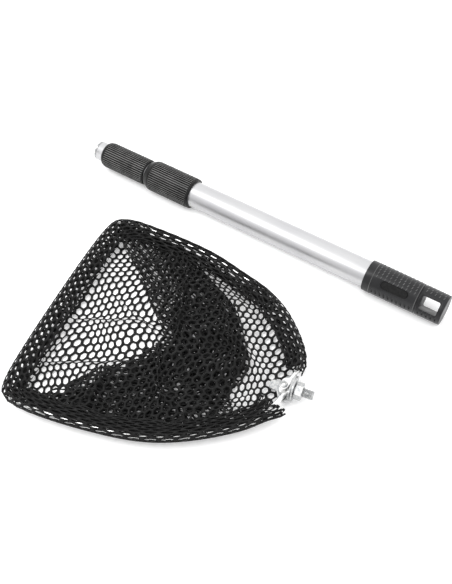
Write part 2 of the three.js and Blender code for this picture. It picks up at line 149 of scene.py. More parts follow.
class Finish:
    """One procedural material, built up a texture at a time."""

    def __init__(self, name, color, roughness, metallic=0.0):
        self.material = bpy.data.materials.new(name)
        self.material.use_nodes = True
        self.nodes = self.material.node_tree.nodes
        self.links = self.material.node_tree.links
        self.shader = self.nodes["Principled BSDF"]
        self.shader.inputs["Base Color"].default_value = (*color, 1)
        self.shader.inputs["Roughness"].default_value = roughness
        self.shader.inputs["Metallic"].default_value = metallic
        self.bump = None

    def set(self, **values):
        for socket, value in values.items():
            self.shader.inputs[socket.replace("_", " ")].default_value = value
        return self

    def texture(self, kind, scale, stretch=(1, 1, 1), turn=0.0, **settings):
        place = self.nodes.new("ShaderNodeTexCoord")
        mapping = self.nodes.new("ShaderNodeMapping")
        mapping.inputs["Scale"].default_value = stretch
        mapping.inputs["Rotation"].default_value = (0, 0, turn)
        texture = self.nodes.new(kind)
        texture.inputs["Scale"].default_value = scale
        for socket, value in settings.items():
            texture.inputs[socket].default_value = value
        self.links.new(place.outputs["Object"], mapping.inputs["Vector"])
        self.links.new(mapping.outputs["Vector"], texture.inputs["Vector"])
        return texture

    def ramp(self, texture, low, high, start=0.35, end=0.65):
        ramp = self.nodes.new("ShaderNodeValToRGB")
        ramp.color_ramp.elements[0].position = start
        ramp.color_ramp.elements[1].position = end
        ramp.color_ramp.elements[0].color = (*low, 1)
        ramp.color_ramp.elements[1].color = (*high, 1)
        source = texture.outputs["Fac"] if "Fac" in texture.outputs else texture.outputs[0]
        self.links.new(source, ramp.inputs["Fac"])
        return ramp

    def vary_color(self, texture, low, high, start=0.35, end=0.65):
        ramp = self.ramp(texture, low, high, start, end)
        self.links.new(ramp.outputs["Color"], self.shader.inputs["Base Color"])
        return self

    def vary_roughness(self, texture, low, high, start=0.35, end=0.65):
        ramp = self.ramp(texture, (low,) * 3, (high,) * 3, start, end)
        self.links.new(ramp.outputs["Color"], self.shader.inputs["Roughness"])
        return self

    def relief(self, texture, height, strength=1.0):
        bump = self.nodes.new("ShaderNodeBump")
        bump.inputs["Distance"].default_value = height * MM
        bump.inputs["Strength"].default_value = strength
        source = texture.outputs["Fac"] if "Fac" in texture.outputs else texture.outputs[0]
        self.links.new(source, bump.inputs["Height"])
        if self.bump:
            self.links.new(self.bump.outputs["Normal"], bump.inputs["Normal"])
        self.links.new(bump.outputs["Normal"], self.shader.inputs["Normal"])
        self.bump = bump
        return self


def anodised_aluminium():
    finish = Finish("anodised_aluminium", (0.49, 0.49, 0.5), 0.4, 1.0)
    drawn = finish.texture("ShaderNodeTexNoise", 900, (0.02, 1, 1), Detail=3)
    cloudy = finish.texture("ShaderNodeTexNoise", 60, (0.3, 1, 1), Detail=4)
    grain = finish.texture("ShaderNodeTexNoise", 6000, Detail=2)
    finish.vary_color(cloudy, (0.475, 0.475, 0.485), (0.515, 0.515, 0.52))
    finish.vary_roughness(drawn, 0.36, 0.46)
    finish.relief(drawn, 0.01, 0.5)
    return finish.relief(grain, 0.004, 0.5).material


def zinc_steel(name, dull, bright):
    finish = Finish(name, dull, 0.26, 1.0)
    mottle = finish.texture("ShaderNodeTexNoise", 450, Detail=6)
    scuffs = finish.texture("ShaderNodeTexNoise", 300, (1, 0.08, 1), turn=0.5, Detail=4)
    finish.vary_color(mottle, dull, bright)
    finish.vary_roughness(scuffs, 0.2, 0.38)
    return finish.relief(mottle, 0.02, 0.4).material


def moulded_plastic(name, color, roughness, worn, shine=0.3):
    finish = Finish(name, color, roughness)
    finish.set(Specular_IOR_Level=shine)
    grain = finish.texture("ShaderNodeTexNoise", 3500, Detail=3)
    broad = finish.texture("ShaderNodeTexNoise", 90, Detail=5)
    finish.vary_color(broad, color, worn, 0.4, 0.7)
    finish.vary_roughness(broad, roughness - 0.05, roughness + 0.08)
    return finish.relief(grain, 0.03, 0.6).material


def inlay_rubber():
    finish = Finish("inlay_rubber", (0.006, 0.006, 0.006), 0.7)
    finish.set(Specular_IOR_Level=0.22)
    pebble = finish.texture("ShaderNodeTexVoronoi", 1400)
    dust = finish.texture("ShaderNodeTexNoise", 500, Detail=5)
    finish.vary_color(dust, (0.003, 0.003, 0.003), (0.009, 0.009, 0.009))
    return finish.relief(pebble, 0.08, 0.7).material


def natural_nylon():
    finish = Finish("natural_nylon", (0.75, 0.73, 0.66), 0.45)
    finish.set(Subsurface_Weight=0.15)
    cloudy = finish.texture("ShaderNodeTexNoise", 200, Detail=4)
    finish.vary_color(cloudy, (0.70, 0.68, 0.60), (0.80, 0.78, 0.71))
    return finish.relief(cloudy, 0.02, 0.4).material


def net_yarn():
    finish = Finish("net_yarn", (0.008, 0.008, 0.009), 0.55)
    finish.set(Specular_IOR_Level=0.16, Sheen_Weight=0.03, Sheen_Roughness=0.5)
    fibres = finish.texture("ShaderNodeTexNoise", 2600, Detail=4)
    dust = finish.texture("ShaderNodeTexNoise", 240, Detail=3)
    finish.vary_color(dust, (0.003, 0.003, 0.003), (0.011, 0.011, 0.011))
    return finish.relief(fibres, 0.15, 0.8).material


ALUMINIUM = anodised_aluminium()
ZINC = zinc_steel("zinc_steel", (0.32, 0.33, 0.34), (0.54, 0.54, 0.53))
ROD_ZINC = zinc_steel("bright_zinc", (0.7, 0.7, 0.7), (0.86, 0.86, 0.85))
COLLAR_PLASTIC = moulded_plastic("collar_plastic", (0.003, 0.003, 0.003), 0.3,
                                 (0.006, 0.006, 0.006), shine=0.2)
GRIP_PLASTIC = moulded_plastic("grip_plastic", (0.008, 0.008, 0.009), 0.36,
                               (0.013, 0.013, 0.014))
# Lighter plastic on the grip's raised ticks and beads: a painted highlight.
RAISED_HIGHLIGHT_PLASTIC = moulded_plastic("grip_plastic_painted_highlight", (0.06, 0.06, 0.06), 0.35,
                               (0.12, 0.12, 0.12))
# Lighter plastic on the collars' rib crowns: a painted highlight along each crown.
CROWN_HIGHLIGHT_PLASTIC = moulded_plastic("collar_plastic_painted_crown_highlight", (0.15, 0.15, 0.147), 0.25,
                              (0.26, 0.26, 0.254))
RUBBER = inlay_rubber()
NYLON = natural_nylon()
YARN = net_yarn()


# ---- mesh helpers --------------------

def add_mesh(name, points, faces, place, material, smooth=True):
    """A new object from points in a local frame (mm) and faces."""
    mesh = bpy.data.meshes.new(name)
    moved = np.c_[np.asarray(points, float), np.ones(len(points))] @ np.array(place).T
    mesh.from_pydata(moved[:, :3].tolist(), [], [list(map(int, face)) for face in faces])
    mesh.validate()
    mesh.materials.append(material)
    if smooth:
        mesh.shade_smooth()
    piece = bpy.data.objects.new(name, mesh)
    bpy.context.collection.objects.link(piece)
    return piece


def stands_for(piece, body, slot, *nodes):
    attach(piece, body)
    if nodes:
        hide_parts(*nodes)
    return piece


def sharpen(piece, degrees=35):
    piece.data.set_sharp_from_angle(angle=math.radians(degrees))
    return piece


def build(name, shape, place, material, sharp=None):
    """A piece from its shape (points, faces), with all its faces turned outwards."""
    piece = fix_normals(add_mesh(name, *shape, place, material))
    return sharpen(piece, sharp) if sharp else piece


def grid_faces(rows, columns, wrap_rows=False, wrap_columns=False):
    """Quads of a grid of points numbered row by row."""
    faces = []
    for row in range(rows if wrap_rows else rows - 1):
        for column in range(columns if wrap_columns else columns - 1):
            below = (row + 1) % rows
            beside = (column + 1) % columns
            faces.append((row * columns + column, below * columns + column,
                          below * columns + beside, row * columns + beside))
    return faces


def rounded(profile, radius, steps=4, closed=True):
    """A polyline with each corner replaced by a small curve, for (x, r) profiles."""
    points = [np.array(point, float) for point in profile]
    count = len(points)
    out = []
    for index in range(count):
        if not closed and index in (0, count - 1):
            out.append(points[index])
            continue
        before, here, after = points[index - 1], points[index], points[(index + 1) % count]
        reach = min(radius, np.linalg.norm(before - here) * 0.45,
                    np.linalg.norm(after - here) * 0.45)
        start = here + (before - here) / np.linalg.norm(before - here) * reach
        end = here + (after - here) / np.linalg.norm(after - here) * reach
        for step in range(steps + 1):
            share = step / steps
            out.append((1 - share) ** 2 * start + 2 * share * (1 - share) * here
                       + share ** 2 * end)
    return out


def lathe(profile, sides=96, radius_at=None):
    """Points and faces of a closed (x, r) profile turned about X.

    radius_at(x, r, angle) may change the radius, for ribs."""
    angles = np.arange(sides) * 2 * math.pi / sides
    points = []
    for x, r in profile:
        for angle in angles:
            reach = r if radius_at is None else radius_at(x, r, angle)
            points.append((x, -reach * math.sin(angle), reach * math.cos(angle)))
    faces = [face[::-1] for face in grid_faces(len(profile), sides, True, True)]
    return points, faces


def capped(points, faces, sides):
    """Closes the two ends of a sweep that has rings of so many points."""
    last = len(points) - sides
    return points, faces + [tuple(range(sides)), tuple(range(last, last + sides))[::-1]]


def lathe_bar(profile, sides=96):
    """A solid turned bar: the (x, r) profile is open and its ends are capped."""
    points, faces = lathe(profile, sides)
    return capped(points, faces[:(len(profile) - 1) * sides], sides)


def fix_normals(piece):
    work = bmesh.new()
    work.from_mesh(piece.data)
    bmesh.ops.recalc_face_normals(work, faces=work.faces)
    work.to_mesh(piece.data)
    work.free()
    return piece


def apply_modifiers(piece):
    graph = bpy.context.evaluated_depsgraph_get()
    piece.data = bpy.data.meshes.new_from_object(piece.evaluated_get(graph))
    piece.modifiers.clear()
    return piece


def ease_edges(piece, width, segments=2, least_degrees=50):
    bevel = piece.modifiers.new("eased", "BEVEL")
    bevel.width = width * MM
    bevel.segments = segments
    bevel.limit_method = "ANGLE"
    bevel.angle_limit = math.radians(least_degrees)
    return apply_modifiers(piece)


def boolean(piece, cutter, operation="DIFFERENCE"):
    modifier = piece.modifiers.new(operation, "BOOLEAN")
    modifier.operation = operation
    modifier.object = cutter
    modifier.solver = "EXACT"
    apply_modifiers(piece)
    bpy.data.objects.remove(cutter)
    return piece


def prism(name, outline, low, high, place, material):
    """An upright prism on a flat outline."""
    count = len(outline)
    points = [(x, y, low) for x, y in outline] + [(x, y, high) for x, y in outline]
    faces = [tuple(range(count))[::-1], tuple(range(count, 2 * count))]
    faces += [(i, (i + 1) % count, (i + 1) % count + count, i + count) for i in range(count)]
    return build(name, (points, faces), place, material)


def arc_points(centre, radius, start, end, count):
    return [(centre[0] + radius * math.cos(angle), centre[1] + radius * math.sin(angle))
            for angle in np.linspace(math.radians(start), math.radians(end), count)]


def rounded_rectangle(x, length, width, corner, steps=8):
    right, left = x + length / 2 - corner, x - length / 2 + corner
    top = width / 2 - corner
    outline = []
    for quarter, centre in enumerate(((right, top), (left, top), (left, -top), (right, -top))):
        outline += arc_points(centre, corner, 90 * quarter, 90 * quarter + 90, steps)
    return outline


def run_lengths(line):
    """How far along a polyline each of its points lies."""
    return np.r_[0, np.cumsum(np.linalg.norm(np.diff(line, axis=0), axis=1))]


def on_line(line, stops):
    """Points on a flat polyline, from how far along it each of them lies."""
    run = run_lengths(line)
    return np.stack([np.interp(stops, run, line[:, 0]), np.interp(stops, run, line[:, 1])], 1)


def smooth(low, high, value):
    """0 below low, 1 above high, and an even rise between them."""
    share = np.clip((value - low) / (high - low), 0, 1)
    return share * share * (3 - 2 * share)


# ---- handle --------------------

WALL = 1.0
OUTER_RADIUS, MIDDLE_RADIUS, INNER_RADIUS = 12.5, 11.0, 9.5
GAP = 0.3
OUTER_COLLAR = (62.4, 115.0)
MIDDLE_COLLAR = (9.5, 61.2)
OUTER_COLLAR_RADIUS = 15.0
MIDDLE_COLLAR_RADIUS = 12.8
OUTER_RIBS = 44
MIDDLE_RIBS = 38
RIB_STEPS = 10                   # mesh columns on each rib
RIB_RUN_OUT = 1.6                # length over which a rib rises at its two ends
COLLAR_LIP = 3.5
MIDDLE_TUBE_END, INNER_TUBE_END = 330.0, 300.0
SOCKET_FLANGE = 2.0
SOCKET_END = 20.0
THREAD_PITCH = 1.25
THREAD_DEPTH = 0.68
STUD_RADIUS = 4.0
GRIP_FRONT = 301.0
GRIP_BORE_END = 349.0
GRIP_RING = 351.6                # a groove right round the grip
ON_AXIS = 0.02                   # a turned end closes at this radius
GRIP_FRONT_RADIUS, GRIP_REAR_RADIUS = 14.4, 13.7
GRIP_ROLL = math.radians(50)
SLOT_CENTRE, SLOT_LENGTH, SLOT_WIDTH = 362.5, 16.0, 12.5
INLAY_CENTRE, INLAY_LENGTH, INLAY_WIDTH = 330.0, 26.0, 8.0
FACE = HANDLE @ Matrix.Rotation(GRIP_ROLL, 4, "X")    # the grip's face turned up to +Z


def make_tube(name, start, end, radius, body, node):
    profile = rounded([(start, radius), (end, radius), (end, radius - WALL),
                       (start, radius - WALL)], 0.35)
    piece = build(name, lathe(profile, 128), HANDLE, ALUMINIUM)
    return stands_for(piece, body, "anodised_aluminium", node)


def make_tubes():
    in_collar = COLLAR_LIP + GAP
    make_tube("outer_tube_drawn", OUTER_COLLAR[0] + in_collar, GRIP_BORE_END - GAP,
              OUTER_RADIUS, "handle", "outer_tube")
    make_tube("middle_tube_drawn", MIDDLE_COLLAR[0] + in_collar, MIDDLE_TUBE_END,
              MIDDLE_RADIUS, "middle_section", "middle_tube")
    inner = make_tube("inner_tube_drawn", SOCKET_FLANGE + GAP, INNER_TUBE_END, INNER_RADIUS,
                      "inner_section", "inner_tube")
    dent = add_mesh("dent", [(3.4, -1.3, 10), (6.4, 0, 10), (3.4, 1.3, 10), (4.3, 0, 8.9)],
                    [(0, 1, 2), (0, 3, 1), (1, 3, 2), (2, 3, 0)], FACE, ALUMINIUM, False)
    sharpen(boolean(inner, fix_normals(dent)))


def rib_wave(angle, ribs):
    """1 on a rib's narrow crown, 0 on the floor of the wider groove between two ribs."""
    phase = abs((angle * ribs / (2 * math.pi) + 0.5) % 1 - 0.5)
    return 1 - min(1.0, max(0.0, (phase - 0.13) / 0.13))


def paint_crown_highlights(piece, ribs, start, end, least_radius):
    """Gives the ribs' crowns a lighter plastic: a painted highlight along each crown."""
    piece.data.materials.append(CROWN_HIGHLIGHT_PLASTIC)
    back = HANDLE.inverted()
    for face in piece.data.polygons:
        x, y, z = back @ face.center
        crown = rib_wave(math.atan2(-y, z), ribs) > 0.9
        if crown and start < x < end and math.hypot(y, z) > least_radius:
            face.material_index = 1


def make_collar(node, body, outside, radii, ribs, span, depth, least_radius):
    """A collar from its outside (x, r) line, holding tubes with the two radii. Grooves are
    cut between the ribs over the span, where the collar is wider than least_radius."""
    lip = outside[0][0] + COLLAR_LIP
    profile = [tuple(point) for point in outside] + [(lip, radius + GAP) for radius in radii]
    start, end = span

    def radius_at(x, r, angle):
        inside = min(1.0, max(0.0, (x - start) / RIB_RUN_OUT), max(0.0, (end - x) / RIB_RUN_OUT))
        groove = depth * inside * (1 - rib_wave(angle, ribs))
        return r - groove if r > least_radius else r
    shape = lathe(profile, ribs * RIB_STEPS, radius_at)
    piece = build(node + "_ribbed", shape, HANDLE, COLLAR_PLASTIC, sharp=50)
    # The ribs' crowns get a lighter plastic as a painted highlight.
    paint_crown_highlights(piece, ribs, start + 0.6, end - 0.6, least_radius)
    stands_for(piece, body, "collar_plastic", node)


def make_outer_collar():
    front, rear = OUTER_COLLAR
    top, nose = OUTER_COLLAR_RADIUS, MIDDLE_COLLAR_RADIUS
    outside = rounded([
        (front, MIDDLE_RADIUS + GAP), (front, nose - 0.5), (front + 1.4, nose + 0.2),
        (front + 5.2, top - 0.25), (front + 7.5, top), (rear - 3, top), (rear, top - 0.3),
        (rear, OUTER_RADIUS + GAP),
    ], 0.9, 5, closed=False)
    make_collar("outer_collar", "handle", outside, (OUTER_RADIUS, MIDDLE_RADIUS), OUTER_RIBS,
                (front + 6.4, rear - 0.9), 0.9, OUTER_RADIUS + 1.4)


def make_middle_collar():
    front, rear = MIDDLE_COLLAR
    top = MIDDLE_COLLAR_RADIUS
    outside = rounded([
        (front, INNER_RADIUS + GAP), (front, top - 2.2), (front + 1.2, top - 0.9),
        (front + 4.6, top), (rear - 2.2, top), (rear, top - 0.35), (rear, MIDDLE_RADIUS + GAP),
    ], 0.8, 5, closed=False)
    make_collar("middle_collar", "middle_section", outside, (MIDDLE_RADIUS, INNER_RADIUS),
                MIDDLE_RIBS, (front + 3.4, rear - 0.7), 0.8, MIDDLE_RADIUS + 0.8)


def thread(start, end, crown, depth, sides, steps=10):
    """A threaded surface about X, from start to end, running out at both ends."""
    rows = int((end - start) / THREAD_PITCH * steps) + 1
    points = []
    for row in range(rows):
        x = start + (end - start) * row / (rows - 1)
        fade = min(1.0, (x - start) / 0.7, (end - x) / 0.9)
        for side in range(sides):
            angle = side * 2 * math.pi / sides
            phase = (x / THREAD_PITCH - side / sides) % 1.0
            ridge = min(1.0, abs(2 * phase - 1) * 1.25)
            reach = crown - depth * (1 - ridge * max(fade, 0.0))
            points.append((x, reach * math.sin(angle), reach * math.cos(angle)))
    return points, grid_faces(rows, sides, False, True)


def make_tip_socket():
    body_radius = INNER_RADIUS - WALL - GAP
    bore = STUD_RADIUS - THREAD_DEPTH + 0.6
    profile = rounded([
        (0, bore + 0.3), (0, INNER_RADIUS), (SOCKET_FLANGE, INNER_RADIUS),
        (SOCKET_FLANGE, body_radius), (SOCKET_END, body_radius), (SOCKET_END, 1.2), (12.4, 1.2),
        (12, bore), (0.5, bore),
    ], 0.4, 4)
    socket = build("tip_socket_turned", lathe(profile, 96), HANDLE, ZINC, sharp=50)
    stands_for(socket, "inner_section", "zinc_steel", "tip_socket")


def make_socket_thread():
    """The thread in the socket: a three-sided coil that stands out of its bore."""
    root = STUD_RADIUS - THREAD_DEPTH + 0.7
    crest = root - 0.65
    turns, per_turn = 8, 40
    points = []
    for step in range(turns * per_turn + 1):
        angle = step * 2 * math.pi / per_turn
        x = 0.9 + step * THREAD_PITCH / per_turn
        for offset, reach in ((-0.45, root), (0.0, crest), (0.45, root)):
            points.append((x + offset, reach * math.sin(angle), reach * math.cos(angle)))
    coil = capped(points, grid_faces(turns * per_turn + 1, 3, False, True), 3)
    stands_for(build("socket_thread", coil, HANDLE, ZINC), "inner_section", "zinc_steel")


def surface_point(x, turn, lift):
    """A point on the grip's skin, turn radians round from the middle of its face."""
    share = (x - GRIP_FRONT) / (HANDLE_LENGTH - GRIP_FRONT)
    reach = GRIP_FRONT_RADIUS + (GRIP_REAR_RADIUS - GRIP_FRONT_RADIUS) * share + lift
    return x, reach * math.sin(turn), reach * math.cos(turn)


def grip_cutters():
    """The grip's through slot, the recesses round its two mouths, and the inlay's pocket."""
    slot = rounded_rectangle(SLOT_CENTRE, SLOT_LENGTH, SLOT_WIDTH, 1.6)
    recess = rounded_rectangle(SLOT_CENTRE - 0.4, SLOT_LENGTH + 2.4, SLOT_WIDTH + 5.0, 2.4)
    pocket = rounded_rectangle(INLAY_CENTRE, INLAY_LENGTH, INLAY_WIDTH, INLAY_WIDTH / 2 - 0.01, 12)
    recess_floor = GRIP_REAR_RADIUS - 2.4
    outside = 30
    return [prism(name, outline, low, high, FACE, GRIP_PLASTIC) for name, outline, low, high in (
        ("slot", slot, -outside, outside),
        ("recess", recess, recess_floor, outside),
        ("recess", recess, -outside, -recess_floor),
        ("pocket", pocket, GRIP_FRONT_RADIUS - 1.6, outside),
    )] + [flank_grooves()]


def make_grip():
    front, rear = GRIP_FRONT, HANDLE_LENGTH
    big, small = GRIP_FRONT_RADIUS, GRIP_REAR_RADIUS
    outside = rounded([
        (GRIP_BORE_END, OUTER_RADIUS + GAP), (front, OUTER_RADIUS + GAP), (front, big - 0.1),
        (GRIP_RING - 0.6, big - 0.45), (GRIP_RING - 0.4, big - 1.2),
        (GRIP_RING + 0.4, big - 1.2), (GRIP_RING + 0.6, big - 0.47),
        (rear - 1.8, small + 0.02), (rear - 1.5, small - 0.25), (rear - 1.2, small),
        (rear, small - 0.1),
    ], 0.35, 4, closed=False)
    profile = [(GRIP_BORE_END, ON_AXIS)] + [tuple(p) for p in outside] + [(rear, ON_AXIS)]
    grip = build("grip_moulded", lathe(profile, 160), HANDLE, GRIP_PLASTIC)
    for cutter in grip_cutters():
        boolean(grip, cutter)
    ease_edges(grip, 0.3)
    stands_for(sharpen(grip, 40), "handle", "grip_plastic", "grip")


def make_inlay():
    """The dark inlay: a slab that follows the round of the grip, a little below its skin."""
    columns, rows = 41, 15
    half = INLAY_LENGTH / 2 - 0.35
    cap = INLAY_WIDTH / 2 - 0.35
    top, bottom = [], []
    for across in np.linspace(-cap, cap, rows):
        run = half - cap + math.sqrt(max(cap ** 2 - across ** 2, 0.0))
        for along in np.linspace(-run, run, columns):
            edge = min(1.0, (cap - abs(across)) / 0.7 + 0.15, (run - abs(along)) / 0.7 + 0.15)
            x = INLAY_CENTRE + along
            skin = surface_point(x, across / GRIP_FRONT_RADIUS, -0.75 + 0.35 * edge)
            top.append((x, across, skin[2]))
            bottom.append((x, across, GRIP_FRONT_RADIUS - 1.55))
    count = rows * columns
    upper = grid_faces(rows, columns)
    lower = [tuple(index + count for index in face[::-1]) for face in upper]
    number = np.arange(count).reshape(rows, columns)
    rim = np.r_[number[0, :-1], number[:-1, -1], number[-1, :0:-1], number[:0:-1, 0]]
    sides = [(here, there, there + count, here + count)
             for here, there in zip(rim, np.roll(rim, -1))]
    shape = top + bottom, upper + lower + sides
    piece = build("grip_inlay_rubber", shape, FACE, RUBBER, sharp=40)
    stands_for(piece, "handle", "inlay_rubber", "grip_inlay")


TICK_PITCH = 4.0
TICK_FIRST = 10.3                # from the grip's front to the first column of ticks
TICK_LENGTH, TICK_WIDTH, TICK_HEIGHT = 2.5, 0.75, 0.22
TICK_LEAN = 0.35
TICK_TURN = 13.6                 # degrees from one tick to the next round the grip
GROOVE_LENGTH, GROOVE_WIDTH, GROOVE_DEPTH = 5.2, 1.3, 0.9
GROOVE_TURN = math.radians(-41)
CORNERS = ((-1, -1), (1, -1), (1, 1), (-1, 1))


def tick_stations():
    """Stations of the columns of ticks, leaving the ring groove and the end plain."""
    stations = np.arange(GRIP_FRONT + TICK_FIRST, HANDLE_LENGTH - 2.5, TICK_PITCH)
    return [x for x in stations if abs(x - GRIP_RING) > 1.6]


def block_faces(first, levels):
    """Faces of a small block made of rings of four points, numbered from first."""
    top = first + 4 * levels - 4
    faces = [(first + 3, first + 2, first + 1, first), (top, top + 1, top + 2, top + 3)]
    for ring in range(first, top, 4):
        for side in range(4):
            here, there = ring + side, ring + (side + 1) % 4
            faces.append((here, there, there + 4, here + 4))
    return faces


def flank_grooves():
    """Cutters for the short grooves across the lower flank."""
    points, faces = [], []
    aside = np.array([0, math.cos(GROOVE_TURN), -math.sin(GROOVE_TURN)]) * GROOVE_LENGTH / 2
    for x in tick_stations():
        faces += block_faces(len(points), 2)
        for lift in (-GROOVE_DEPTH, 2.0):
            middle = np.array(surface_point(x, GROOVE_TURN, lift))
            for u, v in CORNERS:
                points.append(middle + aside * v + np.array([u * GROOVE_WIDTH / 2, 0, 0]))
    return build("grooves", (points, faces), FACE, GRIP_PLASTIC)


def make_grip_ticks():
    """Columns of short raised ticks on the upper flank of the grip, in a lighter plastic that is a
    painted highlight.
    """
    points, faces = [], []
    for x in tick_stations():
        first_turn = 21 if x < GRIP_RING else 50
        for turn in np.radians(np.arange(first_turn, 104, TICK_TURN)):
            faces += block_faces(len(points), 3)
            for lift, grow in ((-0.3, 1.0), (TICK_HEIGHT * 0.6, 0.9), (TICK_HEIGHT, 0.5)):
                for u, v in CORNERS:
                    spread = v * TICK_LENGTH / 2 / GRIP_FRONT_RADIUS * grow
                    along = u * TICK_WIDTH / 2 * grow + v * TICK_LEAN
                    points.append(surface_point(x + along, turn + spread, lift))
    piece = build("grip_ticks", (points, faces), FACE, RAISED_HIGHLIGHT_PLASTIC, sharp=40)
    stands_for(piece, "handle", "grip_plastic")


def make_grip_beads():
    """Two thin raised lines round the grip, in a lighter plastic that is a painted highlight."""
    for name, x in (("grip_front_bead", GRIP_FRONT + 7), ("grip_rear_bead", GRIP_FRONT + 49.4)):
        skin = surface_point(x, 0, 0)[2]
        profile = [(x - 0.35, skin - 0.4), (x - 0.25, skin + 0.12), (x, skin + 0.2),
                   (x + 0.25, skin + 0.12), (x + 0.35, skin - 0.4)]
        piece = build(name, lathe(profile, 128), HANDLE, RAISED_HIGHLIGHT_PLASTIC)
        stands_for(piece, "handle", "grip_plastic")


def finish_inner_pieces():
    """The lock plugs and rings keep their CAD shape and get a nylon finish."""
    for node in ("middle_lock_plug", "middle_lock_ring", "inner_lock_plug", "inner_lock_ring"):
        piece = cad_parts[node]
        piece.data.materials.clear()
        piece.data.materials.append(NYLON)


# ---- net head: rod and fittings --------------------

ROD_RADIUS = 2.0
ROD_SIDES = 20
HOOP_POINTS = (
    (-2.4, 7.4), (-0.4, 18), (-2.1, 33), (-27, 65), (-51, 82), (-83, 94), (-118, 104.5),
    (-181, 111.5), (-200, 111), (-210.6, 106.5), (-214.2, 96), (-216.8, 2), (-213.4, -80),
    (-209.4, -91.6), (-199, -96), (-136, -94), (-81, -82.5), (-33.4, -55), (-12, -34),
    (-2.4, -7.4),
)
EYE_X = -5.6
EYE_RADIUS = 4.0
EYE_THICKNESS = 2.1
PLATE_TOP = -2.8
PLATE_THICKNESS = 1.8
PLATE_LENGTH = 18.0
PLATE_WIDTH = 24.0
TONGUE_WIDTH = 9.0
WEB_FRONT = 2.2
WEB_TOP = 8.0
WEB_CORNER = 3.0
FOLD_RADIUS = 2.2                # outside of the fold between the plate and the web
FLAT_RUN = PLATE_LENGTH + WEB_FRONT - FOLD_RADIUS    # along the sheet, to where it folds up
FOLD_RUN = FOLD_RADIUS * math.pi / 2
SHEET_RUN = FLAT_RUN + FOLD_RUN + (WEB_TOP - (PLATE_TOP - PLATE_THICKNESS) - FOLD_RADIUS)
WASHER = (2.5, 4.1)
WASHER_RADIUS = 11.0
NUT = (4.4, 10.9)
NUT_FLATS = 13.0
STUD = (0.7, 20.0)


def smooth_line(bends, step):
    """Evenly spaced points on a centripetal Catmull-Rom curve through the bends."""
    bends = np.array(bends, float)
    ends = np.vstack([2 * bends[0] - bends[1], bends, 2 * bends[-1] - bends[-2]])
    fine = []
    for a, b, c, d in zip(ends, ends[1:], ends[2:], ends[3:]):
        at = np.cumsum([0] + [np.linalg.norm(q - p) ** 0.5 for p, q in ((a, b), (b, c), (c, d))])
        for t in np.linspace(at[1], at[2], 30, endpoint=False):
            ab = a + (b - a) * (t - at[0]) / (at[1] - at[0])
            bc = b + (c - b) * (t - at[1]) / (at[2] - at[1])
            cd = c + (d - c) * (t - at[2]) / (at[3] - at[2])
            abc = ab + (bc - ab) * (t - at[0]) / (at[2] - at[0])
            bcd = bc + (cd - bc) * (t - at[1]) / (at[3] - at[1])
            fine.append(abc + (bcd - abc) * (t - at[1]) / (at[2] - at[1]))
    fine = np.array(fine + [bends[-1]])
    length = run_lengths(fine)[-1]
    return on_line(fine, np.linspace(0, length, int(length / step) + 1))


def rod_stations():
    """The rod's middle line, across one eye, round the hoop and across the other eye, with
    how far along the rod each of its points is. They lie closer together near the eyes."""
    eye = np.array([(EYE_X, -EYE_RADIUS), (EYE_X, -EYE_RADIUS + 0.9), (EYE_X + 0.3, 0.0),
                    (EYE_X + 1.0, 3.2), (-3.0, 5.4)])
    path = np.vstack([eye, smooth_line(HOOP_POINTS, 2.0), eye[::-1] * (1, -1)])
    total = run_lengths(path)[-1]
    fine = np.linspace(0, 24, 49)
    stops = np.unique(np.r_[fine, np.arange(24, total - 24, 2.5), total - fine])
    centre = on_line(path, stops)
    for _ in range(3):
        centre[1:-1] = (centre[:-2] + 2 * centre[1:-1] + centre[2:]) / 4
    return stops, centre


def rod_section(end, side):
    """The rod's section as (across, up) points, so far from its end: round, then flattened
    into an eye that lies above (side 1) or below (side -1) the middle of the rod."""
    flat = smooth(14.0, 7.5, end)
    eye = 1.0
    if end < EYE_RADIUS:
        eye = math.sqrt(max(0.0, 1 - ((EYE_RADIUS - end) / EYE_RADIUS) ** 2))
    wide = ROD_RADIUS * (1 - flat) + EYE_RADIUS * flat * max(eye, 0.05)
    high = ROD_RADIUS * (1 - flat) + EYE_THICKNESS / 2 * flat
    lift = side * (EYE_THICKNESS / 2 + 0.15) * flat
    squareness = 1 - 0.55 * flat
    section = []
    for index in range(ROD_SIDES):
        angle = index * 2 * math.pi / ROD_SIDES
        c, s = math.cos(angle), math.sin(angle)
        section.append((wide * math.copysign(abs(c) ** squareness, c),
                        lift + high * math.copysign(abs(s) ** squareness, s)))
    return section


def make_hoop_rod():
    """The bent rod, swept with its two ends hammered flat into eyes."""
    stops, centre = rod_stations()
    total = stops[-1]
    ahead = np.gradient(centre, axis=0)
    ahead /= np.linalg.norm(ahead, axis=1)[:, None]
    points = []
    for stop, (x, y), (ax, ay) in zip(stops, centre, ahead):
        side = 1 if stop < total / 2 else -1
        for across, up in rod_section(min(stop, total - stop), side):
            points.append((x + ay * across, y - ax * across, up))
    faces = grid_faces(len(stops), ROD_SIDES, False, True)
    rod = build("hoop_rod_bent", capped(points, faces, ROD_SIDES), NET, ROD_ZINC, sharp=60)
    stands_for(rod, "net_head", "zinc_steel", "hoop_rod")


def bracket_half_width(run):
    """Half the width of the bracket's sheet, so far from the tip of its tongue."""
    tongue, shoulder = TONGUE_WIDTH / 2, PLATE_LENGTH - 6.0
    if run < tongue:
        return math.sqrt(max(tongue ** 2 - (tongue - run) ** 2, 0.01))
    share = min(1.0, max(0.0, (run - tongue - 3) / (shoulder - tongue - 3)))
    wide = tongue + (PLATE_WIDTH / 2 - tongue) * share ** 1.3
    if run > FLAT_RUN:
        wide = PLATE_WIDTH / 2 - 2.0 * min(1.0, (run - FLAT_RUN) / 3.0)
    top = SHEET_RUN - run
    if top < WEB_CORNER:
        wide -= WEB_CORNER - math.sqrt(max(WEB_CORNER ** 2 - (WEB_CORNER - top) ** 2, 0.0))
    return wide


